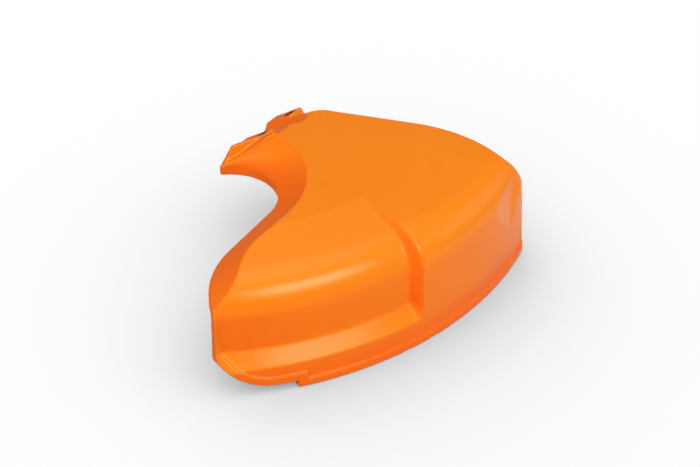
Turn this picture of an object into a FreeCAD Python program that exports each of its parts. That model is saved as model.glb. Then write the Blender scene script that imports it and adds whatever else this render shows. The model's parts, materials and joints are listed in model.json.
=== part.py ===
import FreeCAD, Part
import math
import os

V = FreeCAD.Vector
doc = FreeCAD.newDocument("blade_guard")

# Driving sizes in mm and degrees.
# While it is built, the head axis of the machine is the Z axis, the rim stands on z = 0,
# the middle of the skirt faces -Y and the shaft seat lies towards the axis.
SIZES = [
    # Skirt and deck.
    ("skirt_radius", 200.0),
    ("skirt_draft", 1.5),
    ("deck_height", 66.0),
    ("roll_radius", 20.0),
    ("wall", 2.6),
    # Left section of the skirt, set back behind a crease.
    ("recess_depth", 6.5),
    ("recess_slope", 6.5),
    ("recess_fade", 148.0),
    ("ledge_height", 15.5),
    ("ledge_rise", 8.5),
    ("crease_width", 5.5),
    # Outer edge: a lip that flares out below the deck.
    ("lip_height", 50.0),
    ("flange_drop", 5.5),
    ("return_depth", 13.0),
    ("left_end", 106.5),
    ("left_flare", 20.0),
    ("left_spread", 2.0),
    ("right_end", 99.0),
    ("right_flare", 14.5),
    ("right_spread", 4.0),
    ("right_end_radius", 24.0),
    ("right_end_start", 23.0),
    ("side_turn", 53.0),
    ("right_length", 36.2),
    ("side_flare", 8.0),
    ("deck_side_radius", 80.0),
    # Shallow groove that sets the right end of the skirt off from its edge.
    ("groove_turn", 27.6),
    ("groove_lean", 7.7),
    ("groove_depth", 4.0),
    ("groove_place", 25.3),
    ("groove_height", 50.0),
    ("ramp_turn", 2.5),
    ("ramp_lean", 15.7),
    # Scallop beside the seat, at the lip and at the deck.
    ("scallop_turn", 21.0),
    ("scallop_offset", 92.4),
    ("scallop_radius", 28.0),
    ("scallop_end_radius", 57.0),
    ("deck_scallop_turn", 18.0),
    ("deck_scallop_offset", 116.8),
    ("deck_scallop_radius", 57.0),
    ("deck_end_radius", 39.6),
    # Rim.
    ("rim_step", 4.4),
    ("rim_step_place", 71.0),
    ("left_corner_radius", 27.0),
    ("right_corner_radius", 10.0),
    ("bead_height", 4.6),
    ("bead_proud", 1.2),
    # Shaft seat: a saddle with two screw bosses on the back slope, and the tube's trough in it.
    ("seat_distance", 52.4),
    ("seat_height", 55.2),
    ("seat_turn", 16.7),
    ("seat_tilt", 36.0),
    ("saddle_length", 23.0),
    ("saddle_rear", 17.8),
    ("saddle_width", 38.0),
    ("saddle_thick", 8.0),
    ("web_reach", 36.3),
    ("web_place", 0.5),
    ("web_rise", 4.3),
    ("tube_radius", 13.0),
    ("tube_sink", 3.8),
    ("screw_pitch", 26.2),
    ("screw_hole", 6.6),
    ("boss_radius", 5.5),
    ("boss_length", 15.0),
]
sheet = doc.addObject("Spreadsheet::Sheet", "Sizes")
for row, (name, value) in enumerate(SIZES, start=1):
    sheet.set("A%d" % row, name)
    sheet.set("B%d" % row, str(value))
    sheet.setAlias("B%d" % row, name)
doc.recompute()
S = {name: float(sheet.get(name)) for name, value in SIZES}

# How far a cutting or trimming solid runs past the part.
CLEAR = 20.0
# How far the sectors of the skin turn to each side, past both ends of the guard.
SECTOR = 62.0
# Radius at which the deck stops short of the head axis.
DECK_START = 20.0
# Level inset of the hollow that leaves a full wall under the leaning flare.
SLANT = 1.4
# Corner radii of the outer edge in plan: both ends of the back, and the deck's right front.
TIP_RADIUS = 1.0
BACK_RADIUS = 8.0
DECK_BACK_RADIUS = 14.0
DECK_FRONT_RADIUS = 16.0


def feature(name, shape):
    item = doc.addObject("Part::Feature", name)
    item.Shape = shape
    return item


def cylinder(name, radius, height, base, axis):
    item = doc.addObject("Part::Cylinder", name)
    item.setExpression("Radius", radius)
    item.setExpression("Height", height)
    item.Placement = FreeCAD.Placement(base, FreeCAD.Rotation(V(0, 0, 1), axis))
    return item


def fuse(name, items):
    item = doc.addObject("Part::MultiFuse", name)
    item.Shapes = items
    return item


def common(name, items):
    item = doc.addObject("Part::MultiCommon", name)
    item.Shapes = items
    return item


def cut(name, base, tool):
    item = doc.addObject("Part::Cut", name)
    item.Base = base
    item.Tool = tool
    return item


def at(r, z, angle):
    # Point at radius r and height z, turned by angle from -Y towards +X.
    a = math.radians(angle)
    return V(r * math.sin(a), -r * math.cos(a), z)


def meet(n1, d1, n2, d2):
    # Crossing of two lines given as n . p = d.
    det = n1[0] * n2[1] - n1[1] * n2[0]
    return ((d1 * n2[1] - d2 * n1[1]) / det, (n1[0] * d2 - n2[0] * d1) / det)


def skin_section(angle, share, inset, floor):
    # Closed section through the skin: skirt wall, ledge, roll-over and deck.
    # share runs from 0 in the full section to 1 in the recessed one.
    draft = math.radians(S["skirt_draft"])
    slope = math.radians(S["recess_slope"]) * share
    recess = S["recess_depth"] * share
    radius = S["skirt_radius"] - inset
    deck = S["deck_height"] - inset
    roll = S["roll_radius"] - inset
    low = S["ledge_height"]
    high = low + S["ledge_rise"]
    fade = S["recess_fade"]
    wall_n = (math.cos(draft), math.sin(draft))
    wall_d = (radius - recess) * math.cos(draft)
    deck_n = (math.sin(slope), math.cos(slope))
    deck_d = fade * math.sin(slope) + deck * math.cos(slope)
    cr, cz = meet(wall_n, wall_d - roll, deck_n, deck_d - roll)
    mid = math.hypot(wall_n[0] + deck_n[0], wall_n[1] + deck_n[1])
    mid_n = ((wall_n[0] + deck_n[0]) / mid, (wall_n[1] + deck_n[1]) / mid)

    def on_roll(n):
        return at(cr + roll * n[0], cz + roll * n[1], angle)

    foot = at(radius - floor * math.tan(draft), floor, angle)
    ledge_low = at(radius - low * math.tan(draft), low, angle)
    ledge_high = at(radius - recess - high * math.tan(draft), high, angle)
    fold = at(fade, deck, angle)
    near = at(DECK_START, deck, angle)
    base = at(DECK_START, floor, angle)
    edges = [
        Part.makeLine(foot, ledge_low),
        Part.makeLine(ledge_low, ledge_high),
        Part.makeLine(ledge_high, on_roll(wall_n)),
        Part.Arc(on_roll(wall_n), on_roll(mid_n), on_roll(deck_n)).toShape(),
        Part.makeLine(on_roll(deck_n), fold),
        Part.makeLine(fold, near),
        Part.makeLine(near, base),
        Part.makeLine(base, foot),
    ]
    return Part.Wire(edges)


def skin(inset, floor):
    # Solid under the skin: a recessed sector, the crease that steps out and a full sector.
    half = math.degrees(S["crease_width"] / 2.0 / S["skirt_radius"])
    centre = V(0, 0, 0)
    axis = V(0, 0, 1)
    recessed = Part.Face(skin_section(-SECTOR, 1.0, inset, floor)).revolve(centre, axis, SECTOR - half)
    full = Part.Face(skin_section(half, 0.0, inset, floor)).revolve(centre, axis, SECTOR - half)
    steps = 8
    wires = []
    for k in range(steps + 1):
        u = k / steps
        share = 1.0 - u * u * (3.0 - 2.0 * u)
        wires.append(skin_section(half * (2.0 * u - 1.0), share, inset, floor))
    crease = Part.makeLoft(wires, True, True)
    return recessed.fuse([crease, full]).removeSplitter()


def rounded(corners, place):
    # Closed wire through corners (x, y, radius) with tangent arcs; place maps (x, y) to a point.
    count = len(corners)
    runs = []
    for i in range(count):
        px, py, _ = corners[i - 1]
        cx, cy, r = corners[i]
        nx, ny, _ = corners[(i + 1) % count]
        la = math.hypot(px - cx, py - cy)
        lb = math.hypot(nx - cx, ny - cy)
        ax, ay = (px - cx) / la, (py - cy) / la
        bx, by = (nx - cx) / lb, (ny - cy) / lb
        if r <= 0.0:
            runs.append(((cx, cy), None, (cx, cy)))
            continue
        half = math.acos(ax * bx + ay * by) / 2.0
        tangent = r / math.tan(half)
        hx, hy = ax + bx, ay + by
        lh = math.hypot(hx, hy)
        sag = r / math.sin(half) - r
        middle = (cx + hx / lh * sag, cy + hy / lh * sag)
        start = (cx + ax * tangent, cy + ay * tangent)
        stop = (cx + bx * tangent, cy + by * tangent)
        runs.append((start, middle, stop))
    edges = []
    for i in range(count):
        start, middle, stop = runs[i]
        if middle is not None:
            edges.append(Part.Arc(place(*start), place(*middle), place(*stop)).toShape())
        after = runs[(i + 1) % count][0]
        edges.append(Part.makeLine(place(*stop), place(*after)))
    return Part.Wire(edges)


def side(heading, offset):
    # Side of a plan, run clockwise: heading in degrees from +X, offset of the line inwards.
    a = math.radians(heading)
    return ((math.sin(a), -math.cos(a)), offset)


def plan(sides, radii, height):
    # Closed plan from its sides; each radius rounds the corner before that side.
    corners = []
    for i in range(len(sides)):
        x, y = meet(sides[i - 1][0], sides[i - 1][1], sides[i][0], sides[i][1])
        corners.append((x, y, radii[i]))
    return rounded(corners, lambda x, y: V(x, y, height))


# Headings of the straight sides, clockwise in plan.
BACK = S["seat_turn"]
SEAT_SIDE = 151.0
DECK_SEAT_SIDE = 90.0
RIGHT_END = -90.0
FRONT = 180.0
LEFT_END = 90.0
# Distances of the back and of the scallop's short side from the head axis, at the lip and the deck.
BACK_LIP = 48.0
BACK_DECK = 70.0
SEAT_LIP = -68.0
SEAT_DECK = 0.8


def edge_sides(level, thick):
    # Sides of the outer edge in plan at a level: foot, lip or deck; thick insets the outer ones.
    right_heading = -S["side_turn"]
    front_heading = FRONT + S["right_end_start"]
    left = S["left_end"]
    right = S["right_end"]
    front = -S["skirt_radius"]
    start = math.radians(S["right_end_start"])
    front_corner = (front + right * math.sin(start)) / math.cos(start)
    out = side(right_heading, 0.0)[0]
    right_side = out[0] * right + out[1] * (front_corner + S["right_length"])
    back, scallop, scallop_turn = BACK_LIP, S["scallop_offset"], S["scallop_turn"]
    seat, seat_turn = SEAT_LIP, SEAT_SIDE
    if level == "foot":
        left += S["left_spread"]
        right += S["right_spread"]
        right_side -= S["right_spread"]
        front -= S["right_spread"]
    if level == "deck":
        left -= S["left_flare"]
        right -= S["right_flare"]
        right_side += S["side_flare"]
        back, scallop, scallop_turn = BACK_DECK, S["deck_scallop_offset"], S["deck_scallop_turn"]
        seat, seat_turn = SEAT_DECK, DECK_SEAT_SIDE
    return [
        side(BACK, back + thick),
        side(right_heading, right_side + thick),
        side(RIGHT_END, -right + thick),
        side(front_heading, front + thick),
        side(FRONT, front - CLEAR * 2.0),
        side(LEFT_END, -left + thick),
        side(scallop_turn, scallop + thick),
        side(seat_turn, seat + thick),
    ]


def edge_plan(level, thick, height):
    # Closed plan of the outer edge at a level, placed at a height.
    if level == "deck":
        ends = [TIP_RADIUS, DECK_BACK_RADIUS, S["deck_side_radius"], DECK_FRONT_RADIUS]
        scallop = [S["deck_end_radius"] - thick, S["deck_scallop_radius"] + thick]
    else:
        right = S["right_end_radius"] - thick
        if level == "foot":
            right += S["right_spread"]
        ends = [TIP_RADIUS, BACK_RADIUS, right, right]
        scallop = [S["scallop_end_radius"] - thick, S["scallop_radius"] + thick]
    return plan(edge_sides(level, thick), ends + [0.0, 0.0] + scallop, height)


def flare(thick, floor):
    # Solid inside the outer edge: nearly upright below the lip, leaning inwards up to the deck.
    lean = thick * SLANT
    rings = [
        edge_plan("foot", thick, floor),
        edge_plan("foot", thick, 0.0),
        edge_plan("lip", thick, S["lip_height"]),
        edge_plan("deck", lean, S["deck_height"]),
        edge_plan("deck", lean, S["deck_height"] + CLEAR),
    ]
    parts = [Part.makeLoft(rings[i:i + 2], True, True) for i in range(len(rings) - 1)]
    return parts[0].fuse(parts[1:])


def front_frame(inset):
    # Front elevation of the skirt, extruded along Y: rounded lower corners and the stepped rim.
    left = -S["left_end"] - S["left_spread"] + inset
    right = S["right_end"] + S["right_spread"] - inset
    low = inset
    step = S["rim_step"] + inset
    place = -S["rim_step_place"] + inset
    top = S["deck_height"] + CLEAR * 3.0
    corners = [
        (left, top, 0.0),
        (right, top, 0.0),
        (right, low, S["right_corner_radius"] - inset),
        (place, low, 0.0),
        (place, step, 0.0),
        (left, step, S["left_corner_radius"] - inset),
    ]
    ahead = -S["skirt_radius"] - CLEAR * 2.0
    wire = rounded(corners, lambda x, z: V(x, ahead, z))
    return Part.Face(wire).extrude(V(0, S["skirt_radius"] + CLEAR * 3.0, 0))


def slab(heading, lean, point):
    # Thick slab outside the plane through point that is turned by heading from -Y and leans back.
    h = math.radians(heading)
    b = math.radians(lean)
    out = V(math.sin(h) * math.cos(b), -math.cos(h) * math.cos(b), math.sin(b))
    side_way = V(math.cos(h), math.sin(h), 0)
    reach = S["skirt_radius"]
    box = Part.makeBox(reach, reach, reach)
    turn_to = FreeCAD.Rotation(side_way, out.cross(side_way), out, "XYZ")
    corner = point - side_way * (reach / 2.0) - out.cross(side_way) * (reach / 2.0)
    box.Placement = FreeCAD.Placement(corner, turn_to)
    return box


def groove(inset):
    # Wedge outside both faces of the groove at the right end; inset moves the faces inwards.
    valley = at(S["skirt_radius"] - S["groove_depth"] - inset, S["groove_height"], S["groove_place"])
    strip = slab(S["groove_turn"], S["groove_lean"], valley)
    ramp = slab(S["ramp_turn"], S["ramp_lean"], valley)
    return strip.common(ramp)


# Frame of the shaft seat: up the shaft, across it and square to the saddle.
turn = math.radians(S["seat_turn"])
tilt = math.radians(S["seat_tilt"])
seat_along = V(math.sin(turn) * math.cos(tilt), -math.cos(turn) * math.cos(tilt), math.sin(tilt))
seat_across = V(math.cos(turn), math.sin(turn), 0)
seat_normal = seat_along.cross(seat_across)
seat_point = V(S["seat_distance"] * math.sin(turn), -S["seat_distance"] * math.cos(turn), S["seat_height"])
seat_frame = FreeCAD.Rotation(seat_along, seat_across, seat_normal, "XYZ")


def on_seat(along, across, up):
    return seat_point + seat_along * along + seat_across * across + seat_normal * up


def lip_tip():
    sides = edge_sides("lip", TIP_RADIUS)
    x, y = meet(sides[-1][0], sides[-1][1], sides[0][0], sides[0][1])
    return V(x, y, S["lip_height"] - TIP_RADIUS)


def web():
    # Wall behind the flare, from the left screw boss past a crest to the tip of the lip.
    tip = lip_tip()
    crest = on_seat(S["web_place"], -S["web_reach"], S["web_rise"])
    root = on_seat(S["boss_radius"] + S["wall"], -S["screw_pitch"] / 2.0 - S["boss_radius"], 0.0)
    back = (crest - tip).cross(root - tip).normalize()
    foot = root + back.cross(root - tip).normalize() * S["saddle_thick"]
    return Part.Face(Part.makePolygon([tip, crest, root, foot, tip])).extrude(back * S["wall"])


def gusset():
    # Pyramid from the side of the saddle down to the tip of the lip.
    tip = lip_tip()
    rise = (S["deck_height"] - S["seat_height"]) / seat_along.z
    across = -S["saddle_width"] / 2.0
    base = [on_seat(rise, across, 0.0), on_seat(-S["saddle_rear"], across, 0.0),
            on_seat(-S["saddle_rear"], across, -S["saddle_thick"]), on_seat(rise, across, -S["saddle_thick"])]
    faces = [Part.Face(Part.makePolygon(base + base[:1]))]
    for i in range(len(base)):
        faces.append(Part.Face(Part.makePolygon([base[i - 1], base[i], tip, base[i - 1]])))
    return Part.makeSolid(Part.makeShell(faces))


def tube(name, radius):
    # Shaft tube lying in the seat.
    lift = S["tube_radius"] - S["tube_sink"]
    base = on_seat(-S["saddle_length"] * 2.0, 0.0, lift)
    return cylinder(name, radius, "Sizes.saddle_length * 4", base, seat_along)


edge = feature("edge", flare(0.0, -CLEAR))
frame = feature("frame", front_frame(0.0))
outer = common("outer", [feature("skin", skin(0.0, 0.0)), edge])
inner = common("inner", [feature("hollow_skin", skin(S["wall"], -CLEAR * 2.0)),
                         feature("hollow_edge", flare(S["wall"], -CLEAR * 3.0))])
kept = fuse("kept", [tube("tube_wall", "Sizes.tube_radius + Sizes.wall"),
                     feature("groove_wall", groove(S["wall"]))])
hollow = cut("hollow", inner, kept)
shell = cut("shell", outer, hollow)

# Bead along the rim and both ends of the skirt.
proud = common("proud", [feature("proud_skin", skin(-S["bead_proud"], 0.0)), edge])
bead = cut("bead_ring", proud, feature("bead_window", front_frame(S["bead_height"])))
bead = cut("bead", bead, hollow)
under = cylinder("under", "Sizes.skirt_radius - Sizes.return_depth",
                 "Sizes.lip_height - Sizes.flange_drop + %g" % CLEAR, V(0, 0, -CLEAR), V(0, 0, 1))
walls = cut("walls", fuse("beaded", [shell, bead]), feature("groove", groove(0.0)))
body = cut("open_body", common("body", [walls, frame]), under)

# Saddle with its gusset and web to the tip of the lip, screw bosses, tube trough and screw holes.
saddle = doc.addObject("Part::Box", "saddle")
saddle.setExpression("Length", "Sizes.saddle_length")
saddle.setExpression("Width", "Sizes.saddle_width")
saddle.setExpression("Height", "Sizes.saddle_thick")
corner = on_seat(-S["saddle_rear"], -S["saddle_width"] / 2.0, -S["saddle_thick"])
saddle.Placement = FreeCAD.Placement(corner, seat_frame)
bosses = []
holes = []
for sign, word in ((-1.0, "left"), (1.0, "right")):
    v = sign * S["screw_pitch"] / 2.0
    bosses.append(cylinder(word + "_boss", "Sizes.boss_radius", "Sizes.boss_length",
                           on_seat(0.0, v, -S["boss_length"]), seat_normal))
    holes.append(cylinder(word + "_hole", "Sizes.screw_hole / 2", "Sizes.boss_length + %g" % (2.0 * CLEAR),
                          on_seat(0.0, v, -S["boss_length"] - CLEAR), seat_normal))
raised = fuse("seat_parts", [saddle, feature("gusset", gusset()), feature("web", web())])
raised = cut("raised", raised, hollow)
solid = fuse("solid", [body, raised] + bosses)
result = cut("result", solid, fuse("cuts", [tube("trough", "Sizes.tube_radius")] + holes))
doc.recompute()

for item in doc.Objects:
    if "Invalid" in item.State or "Error" in item.State:
        raise RuntimeError("failed: " + item.Name)
if len(result.Shape.Solids) != 1:
    raise RuntimeError("the guard is not one solid: %d" % len(result.Shape.Solids))

# The origin lies under the middle of the guard, at rim level.
guard = feature("blade_guard", result.Shape.Solids[0])
guard.Label = "blade_guard"
box = guard.Shape.optimalBoundingBox(False)
guard.Placement = FreeCAD.Placement(V(-box.Center.x, -box.Center.y, -box.ZMin), FreeCAD.Rotation())
doc.recompute()
if guard.Shape.isNull() or not guard.Shape.isValid():
    raise RuntimeError("the guard has no valid shape")
os.makedirs("parts", exist_ok=True)
guard.Shape.exportStep("parts/blade_guard.step")
print("shift", guard.Placement.Base, "volume", guard.Shape.Volume)
print("size", box.XLength, box.YLength, box.ZLength)
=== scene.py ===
import json

import bpy
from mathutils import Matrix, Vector


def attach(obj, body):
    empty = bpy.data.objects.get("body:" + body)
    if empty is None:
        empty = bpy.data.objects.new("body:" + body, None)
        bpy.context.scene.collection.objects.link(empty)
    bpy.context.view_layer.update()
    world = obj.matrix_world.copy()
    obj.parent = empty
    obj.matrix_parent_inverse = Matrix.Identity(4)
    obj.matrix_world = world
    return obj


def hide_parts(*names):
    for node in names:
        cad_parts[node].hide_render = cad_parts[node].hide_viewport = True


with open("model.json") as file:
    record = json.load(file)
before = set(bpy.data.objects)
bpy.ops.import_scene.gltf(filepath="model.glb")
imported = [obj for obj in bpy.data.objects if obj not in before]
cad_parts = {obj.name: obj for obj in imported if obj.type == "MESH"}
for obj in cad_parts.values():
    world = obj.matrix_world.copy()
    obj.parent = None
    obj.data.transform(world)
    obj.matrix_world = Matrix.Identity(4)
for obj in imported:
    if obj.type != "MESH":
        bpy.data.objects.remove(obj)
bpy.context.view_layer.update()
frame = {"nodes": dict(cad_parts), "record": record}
scene = bpy.context.scene

# Lengths are in metres
MILLIMETRE = 0.001

# Moulded shell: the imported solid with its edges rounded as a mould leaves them
VOXEL = 0.0005
EDGE_FACTOR = 0.5
EDGE_PASSES = 2
THINNING = 0.25
node = frame["nodes"]["blade_guard"]
blank = bpy.data.objects.new("shell_blank", node.data.copy())
scene.collection.objects.link(blank)
remesh = blank.modifiers.new("remesh", "REMESH")
remesh.mode = "VOXEL"
remesh.voxel_size = VOXEL
remesh.use_smooth_shade = True
soften = blank.modifiers.new("soften", "SMOOTH")
soften.factor = EDGE_FACTOR
soften.iterations = EDGE_PASSES
thin = blank.modifiers.new("thin", "DECIMATE")
thin.ratio = THINNING
graph = bpy.context.evaluated_depsgraph_get()
shell_mesh = bpy.data.meshes.new_from_object(blank.evaluated_get(graph))
bpy.data.objects.remove(blank)
shell = bpy.data.objects.new("guard_shell", shell_mesh)
scene.collection.objects.link(shell)
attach(shell, "root")
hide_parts("blade_guard")


# Helpers for materials
def make_material(name):
    """A new material and its node tree."""
    material = bpy.data.materials.new(name)
    material.use_nodes = True
    return material, material.node_tree


def combine(tree, operation, first, second):
    """Two linked values joined by a math operation."""
    step = tree.nodes.new("ShaderNodeMath")
    step.operation = operation
    tree.links.new(first, step.inputs[0])
    tree.links.new(second, step.inputs[1])
    return step.outputs["Value"]


def vector_step(tree, operation, vector, constant=(0, 0, 0)):
    """A vector operation on a linked vector and a constant one."""
    step = tree.nodes.new("ShaderNodeVectorMath")
    step.operation = operation
    tree.links.new(vector, step.inputs[0])
    step.inputs[1].default_value = constant
    return step.outputs


def map_range(tree, value, span=(0.0, 1.0), result=(0.0, 1.0), smooth=False):
    """A linked value taken from its span to the range of the result."""
    share = tree.nodes.new("ShaderNodeMapRange")
    if smooth:
        share.interpolation_type = "SMOOTHSTEP"
    ends = ("From Min", "From Max", "To Min", "To Max")
    for end, number in zip(ends, span + result):
        share.inputs[end].default_value = number
    tree.links.new(value, share.inputs["Value"])
    return share.outputs["Result"]


def blend_by(tree, value, span, first, second):
    """The first colour below the span of the value, the second above it."""
    blend = tree.nodes.new("ShaderNodeMix")
    blend.data_type = "RGBA"
    tree.links.new(map_range(tree, value, span, smooth=True), blend.inputs["Factor"])
    tree.links.new(first, blend.inputs["A"])
    tree.links.new(second, blend.inputs["B"])
    return blend.outputs["Result"]


def noise(tree, coords, scale, detail):
    """Noise over the object's own coordinates."""
    texture = tree.nodes.new("ShaderNodeTexNoise")
    texture.inputs["Scale"].default_value = scale
    texture.inputs["Detail"].default_value = detail
    tree.links.new(coords, texture.inputs["Vector"])
    return texture.outputs["Fac"]


# Satin orange plastic
REFRACTION = 1.5
SPECULAR = 0.34
SPECULAR_TINT = (1.0, 0.9, 0.62, 1)
plastic, skin = make_material("orange_plastic")
surface = skin.nodes["Principled BSDF"]
surface.inputs["IOR"].default_value = REFRACTION
surface.inputs["Specular IOR Level"].default_value = SPECULAR
surface.inputs["Specular Tint"].default_value = SPECULAR_TINT
coords = skin.nodes.new("ShaderNodeTexCoord").outputs["Object"]

# Faint flow marks: each colour is a dark and a light tone close to each other
FLOW_SCALE = 14
FLOW_DETAIL = 3
FLOW_SPAN = (0.3, 0.7)
# The first three tone pairs are painted shade, painted half light and painted light on the orange;
# the last pair is painted shade inside the screw bores
PAINTED_SHADE_TONES = ((0.91, 0.138, 0.0), (0.95, 0.150, 0.0))
PAINTED_HALF_LIGHT_TONES = ((0.90, 0.184, 0.0), (0.93, 0.196, 0.001))
PAINTED_LIGHT_TONES = ((0.84, 0.208, 0.004), (0.87, 0.222, 0.007))
PAINTED_BORE_SHADE_TONES = ((0.006, 0.003, 0.002), (0.012, 0.006, 0.004))
flow = noise(skin, coords, FLOW_SCALE, FLOW_DETAIL)


def two_tones(name, tones):
    """A colour ramp of two close tones, driven by the flow marks."""
    ramp = skin.nodes.new("ShaderNodeValToRGB")
    ramp.label = name
    for index, tone in enumerate(tones):
        element = ramp.color_ramp.elements[index]
        element.position = FLOW_SPAN[index]
        element.color = tone + (1,)
    skin.links.new(flow, ramp.inputs["Fac"])
    return ramp.outputs["Color"]


# Ramps for the painted shade, painted half light, painted light and painted bore shade
painted_shade = two_tones("painted_shade", PAINTED_SHADE_TONES)
painted_half_light = two_tones("painted_half_light", PAINTED_HALF_LIGHT_TONES)
painted_light = two_tones("painted_light", PAINTED_LIGHT_TONES)
painted_bore_shade = two_tones("painted_bore_shade", PAINTED_BORE_SHADE_TONES)

# Painted light and shade: faces turned towards a set light direction get the lighter painted-light
# colour, faces turned away the darker painted-shade colour, and those between a painted half light
PAINTED_LIGHT_DIRECTION = (0.3, -0.5, 0.81)
PAINTED_HALF_LIGHT_SPAN = (0.2, 0.55)
PAINTED_LIGHT_SPAN = (0.6, 0.82)
facing = skin.nodes.new("ShaderNodeNewGeometry").outputs["Normal"]
painted_light_facing = vector_step(skin, "DOT_PRODUCT", facing, PAINTED_LIGHT_DIRECTION)["Value"]
shade = blend_by(skin, painted_light_facing, PAINTED_HALF_LIGHT_SPAN, painted_shade, painted_half_light)
shade = blend_by(skin, painted_light_facing, PAINTED_LIGHT_SPAN, shade, painted_light)

# Painted shade: the thick rim gets the darker shaded colour all round
RIM_SPAN = (0.009, 0.017)
height = skin.nodes.new("ShaderNodeSeparateXYZ")
skin.links.new(coords, height.inputs["Vector"])
shade = blend_by(skin, height.outputs["Z"], RIM_SPAN, painted_shade, shade)

# Painted shade in the screw bores: their walls are coloured nearly black, by their distance from
# the axis
BORE_EDGE = 0.0005
for mount in frame["record"]["mounts"]:
    if mount["kind"] == "bore":
        arm = vector_step(skin, "SUBTRACT", coords, mount["pos_m"])["Vector"]
        swing = vector_step(skin, "CROSS_PRODUCT", arm, mount["axis"])["Vector"]
        distance = vector_step(skin, "LENGTH", swing)["Value"]
        radius = mount["dims"]["r_mm"] * MILLIMETRE
        shade = blend_by(skin, distance, (radius, radius + BORE_EDGE), painted_bore_shade, shade)
skin.links.new(shade, surface.inputs["Base Color"])

# Patchy satin gloss, duller on the faces turned away from the same set light direction
PATCH_SCALE = 45
PATCH_DETAIL = 5
GLOSS = (0.22, 0.29)
DULL_SPAN = (0.2, 0.8)
DULL = (0.5, 0.0)
patches = noise(skin, coords, PATCH_SCALE, PATCH_DETAIL)
gloss = map_range(skin, patches, result=GLOSS)
dull = map_range(skin, painted_light_facing, DULL_SPAN, DULL, smooth=True)
skin.links.new(combine(skin, "ADD", gloss, dull), surface.inputs["Roughness"])

# Fine moulded grain
GRAIN_SCALE = 1400
GRAIN_DETAIL = 2
GRAIN_STRENGTH = 0.05
GRAIN_DEPTH = 0.0001
grain = noise(skin, coords, GRAIN_SCALE, GRAIN_DETAIL)
relief = skin.nodes.new("ShaderNodeBump")
relief.inputs["Strength"].default_value = GRAIN_STRENGTH
relief.inputs["Distance"].default_value = GRAIN_DEPTH
skin.links.new(grain, relief.inputs["Height"])
skin.links.new(relief.outputs["Normal"], surface.inputs["Normal"])
shell_mesh.materials.clear()
shell_mesh.materials.append(plastic)

# Pale floor, off centre so that the seam of its two triangles is out of view
FLOOR_SIZE = 60
FLOOR_PLACE = (5, 0, -0.0002)
PAPER_COLOUR = (0.55, 0.55, 0.55, 1)
PAPER_ROUGHNESS = 0.9
PAPER_SPECULAR = 0.1
bpy.ops.mesh.primitive_plane_add(size=FLOOR_SIZE, location=FLOOR_PLACE)
floor = bpy.context.object
floor.name = "floor"
paper, sheet = make_material("paper_floor")
floor.data.materials.append(paper)
matt = sheet.nodes["Principled BSDF"]
matt.inputs["Base Color"].default_value = PAPER_COLOUR
matt.inputs["Roughness"].default_value = PAPER_ROUGHNESS
matt.inputs["Specular IOR Level"].default_value = PAPER_SPECULAR

# Seen directly or mirrored, the floor is white but for the soft shadow by the object
SHADOW_REACH = 0.22
SHADOW_FLOOR = 0.12
SHADOW_SAMPLES = 16
closeness = sheet.nodes.new("ShaderNodeAmbientOcclusion")
closeness.samples = SHADOW_SAMPLES
closeness.inputs["Distance"].default_value = SHADOW_REACH
tone = map_range(sheet, closeness.outputs["AO"], result=(SHADOW_FLOOR, 1.0))
white = sheet.nodes.new("ShaderNodeEmission")
sheet.links.new(tone, white.inputs["Color"])
path = sheet.nodes.new("ShaderNodeLightPath")
seen = path.outputs["Is Camera Ray"]
for ray in ("Is Glossy Ray", "Is Transmission Ray"):
    seen = combine(sheet, "MAXIMUM", seen, path.outputs[ray])
choice = sheet.nodes.new("ShaderNodeMixShader")
sheet.links.new(seen, choice.inputs["Fac"])
sheet.links.new(matt.outputs["BSDF"], choice.inputs[1])
sheet.links.new(white.outputs["Emission"], choice.inputs[2])
sheet.links.new(choice.outputs["Shader"], sheet.nodes["Material Output"].inputs["Surface"])

# Even white surroundings
SURROUND_COLOUR = (1, 1, 1, 1)
SURROUND_STRENGTH = 0.22
world = bpy.data.worlds.new("studio")
scene.world = world
world.use_nodes = True
backdrop = world.node_tree.nodes["Background"]
backdrop.inputs["Color"].default_value = SURROUND_COLOUR
backdrop.inputs["Strength"].default_value = SURROUND_STRENGTH


# Soft boxes and camera
def stand(name, data, place, aim):
    """A lamp or camera put in its place and turned to its aim."""
    thing = bpy.data.objects.new(name, data)
    thing.location = place
    direction = Vector(aim) - Vector(place)
    thing.rotation_euler = direction.to_track_quat("-Z", "Y").to_euler()
    scene.collection.objects.link(thing)
    return thing


def soft_box(name, place, aim, size, power):
    """A rectangular lamp, with its size in metres and its power in watts."""
    lamp = bpy.data.lights.new(name, "AREA")
    lamp.shape = "RECTANGLE"
    lamp.size, lamp.size_y = size
    lamp.energy = power
    stand(name, lamp, place, aim)


soft_box("top_box", place=(0.0, 0.1, 1.5), aim=(0, 0, 0), size=(1.6, 1.4), power=9.2)
soft_box("front_box", place=(-0.04, -0.93, 0.78), aim=(0, 0, 0.04), size=(0.64, 0.46), power=8.2)
soft_box("right_box", place=(0.95, -0.55, 0.6), aim=(0.05, -0.03, 0.03), size=(0.7, 0.5), power=1.2)
soft_box("left_box", place=(-1.1, 0.0, 0.8), aim=(0, 0, 0.03), size=(0.9, 0.7), power=6.5)

# Camera at the photograph's viewing angle
SENSOR = 36
LENS = 77.14
EYE = (-0.3946, -0.5307, 0.5396)
AIM = (0.0306, 0.0135, 0)
optics = bpy.data.cameras.new("camera")
optics.sensor_width = SENSOR
optics.lens = LENS
scene.camera = stand("camera", optics, EYE, AIM)
scene.view_settings.view_transform = "Standard"
